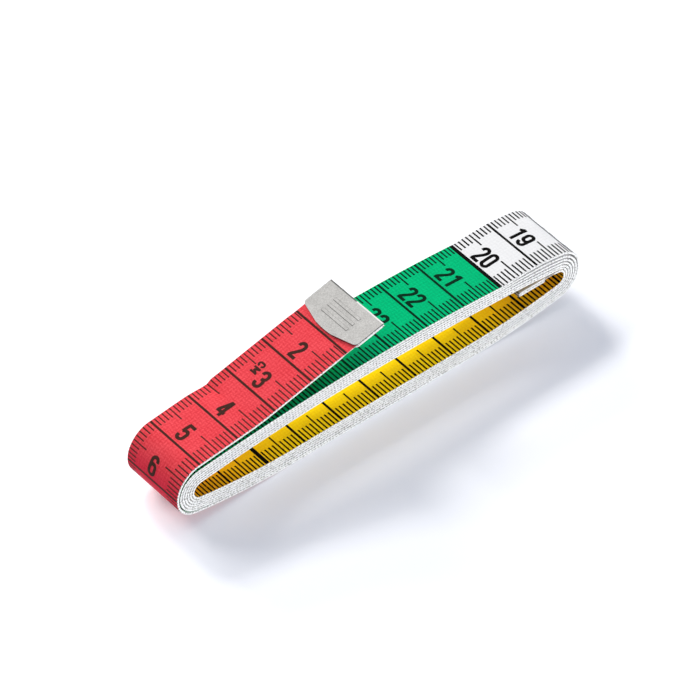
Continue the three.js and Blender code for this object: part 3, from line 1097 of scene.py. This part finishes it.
# Prints: marks in centimetres of their own scale, and the run of tape where they bend, in millimetres
free_marks = [ink_bar(FIRST_LINE, 0, FAINT_LINE_WIDTH, LINE_LENGTH), *unit_letters(*UNIT_PLACE),
              *scale_marks(1, 4, centre=0.0, faint=True)]
free_print = wrap_print("free_end_print", free_marks, INK_ON_RED, "printed", 9, 41, KINK_CUTS)
root_print = wrap_print("root_print", scale_marks(4, 6, faint=True), INK_ON_RED, "printed", 39, 61)
red_print = wrap_print("red_field_print", scale_marks(6, 10, faint=True), INK_ON_RED, "printed", 60, 101)
white_print = wrap_print("white_field_print", scale_marks(10, 20), BLACK_INK, "printed", 100, 201)
green_print = wrap_print("green_field_print", scale_marks(20, 29), INK_ON_GREEN, "printed", 200, 291)
under_print = wrap_print("free_end_reverse_print", scale_marks(146, 149), BLACK_INK, "reverse", 9, 41, KINK_CUTS)
root_under_print = wrap_print("root_reverse_print", scale_marks(144, 146), BLACK_INK, "reverse", 39, 61)
bore_marks = [*tick_rows(18, 2, 1), ink_bar(20, 0, LINE_WIDTH, LINE_LENGTH), *scale_marks(2, 23)]
bore_print = wrap_print("bore_print", bore_marks, BLACK_INK, "reverse", FAR_END - 232, INNER_SEAM)
inner_marks = [*tick_rows(14, 1, 1), *tick_rows(15, 1, 1, half=True), *tick_rows(16, 2, 1)]
inner_print = wrap_print("inner_end_print", inner_marks, BLACK_INK, "reverse", INNER_SEAM, FAR_END - 10)

for solid in [*FIGURE_SOLIDS.values(), *UNIT_SOLIDS.values()]:
    bpy.data.objects.remove(solid)

# The outer tip's upper leaf edges get painted shade, the inner tip's painted highlight.
outer_tip = set_on_end(folded_tip("outer_tip_plate", PAINTED_SHADE), "zero", 1)
inner_tip = set_on_end(folded_tip("inner_tip_plate", PAINTED_HIGHLIGHT), "far", -1)


for piece in (free_tape, free_print, under_print):
    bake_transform(piece)
for piece in (root_tape, root_print, root_under_print):
    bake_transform(piece)
for piece in (inner_tape, inner_print):
    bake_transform(piece)
for piece in (wound_tape, red_print, white_print, green_print, bore_print):
    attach(piece, "winding")
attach(outer_tip, "free_end")
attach(inner_tip, "inner_end")

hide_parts("free_end")
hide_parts("free_end_root")
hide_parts("tape_winding")
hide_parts("inner_end")
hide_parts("outer_tip")
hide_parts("inner_tip")


# -------------------- floor, light and camera

FLOOR_SIZE = 6.0
FLOOR_GLOW = 0.22
SKY_LIGHT = (0.145, 0.172, 0.25)
SKY_SEEN = (1.0, 1.0, 1.0)
LAMP_AIM = Vector((0, 0, 0.01))
WARM = (1.0, 0.98, 0.94)
COOL = (0.97, 0.985, 1.0)


def white_for_camera(tree):
    """One for rays from the camera, and for what shows in gloss or through glass."""
    path = tree.nodes.new("ShaderNodeLightPath")
    seen = join_values(tree, "MAXIMUM", path.outputs["Is Camera Ray"], path.outputs["Is Glossy Ray"])
    return join_values(tree, "MAXIMUM", seen, path.outputs["Is Transmission Ray"])


def studio_floor():
    bpy.ops.mesh.primitive_plane_add(size=FLOOR_SIZE, location=(0, 0, -INK_DEPTH * MM))
    floor = bpy.context.object
    floor.name = "floor"
    finish, tree, shader = new_finish("white_floor")
    shader.inputs["Base Color"].default_value = (0.93, 0.94, 0.97, 1)
    shader.inputs["Roughness"].default_value = 0.9
    shader.inputs["Specular IOR Level"].default_value = 0.0
    shader.inputs["Emission Color"].default_value = (1, 1, 1, 1)
    glow = join_values(tree, "MULTIPLY", white_for_camera(tree), FLOOR_GLOW)
    tree.links.new(glow, shader.inputs["Emission Strength"])
    floor.data.materials.append(finish)


def studio_sky():
    world = bpy.data.worlds.new("studio")
    bpy.context.scene.world = world
    world.use_nodes = True
    tree = world.node_tree
    seen = white_for_camera(tree)
    tree.links.new(blend_colours(tree, seen, SKY_LIGHT, SKY_SEEN), tree.nodes["Background"].inputs["Color"])


def soft_lamp(name, place, size, power, colour, mirrored):
    """A panel of light, mirrored in the metal or kept out of it so that it doesn't glare."""
    lamp = bpy.data.lights.new(name, "AREA")
    lamp.shape = "RECTANGLE"
    lamp.size, lamp.size_y = size
    lamp.energy = power
    lamp.color = colour
    holder = new_piece(name, lamp)
    holder.location = place
    holder.visible_glossy = mirrored
    holder.rotation_euler = (LAMP_AIM - Vector(place)).to_track_quat("-Z", "Y").to_euler()


def photo_camera():
    azimuth, elevation, distance = math.radians(-39.78), math.radians(44.95), 1.419
    aim = Vector((0.001355, 0.003787, 0.007953))
    back = Vector((math.sin(azimuth) * math.cos(elevation), -math.cos(azimuth) * math.cos(elevation),
                   math.sin(elevation)))
    data = bpy.data.cameras.new("photo_camera")
    data.sensor_width = 36.0
    data.lens = 350.0
    camera = new_piece("photo_camera", data)
    camera.location = aim + back * distance
    camera.rotation_euler = (-back).to_track_quat("-Z", "Y").to_euler()
    bpy.context.scene.camera = camera


studio_floor()
studio_sky()
soft_lamp("back_light", (0.1, 0.6, 0.51), size=(0.22, 0.12), power=2.75, colour=WARM, mirrored=False)
soft_lamp("left_back_light", (-0.24, 0.56, 0.51), size=(0.3, 0.12), power=2.45, colour=WARM, mirrored=False)
soft_lamp("low_back_light", (0.08, 0.78, 0.34), size=(0.4, 0.14), power=4.4, colour=WARM, mirrored=False)
soft_lamp("front_fill", (0.22, -1.0, 0.26), size=(0.7, 0.52), power=8.8, colour=COOL, mirrored=True)
photo_camera()
bpy.context.scene.view_settings.view_transform = "Standard"
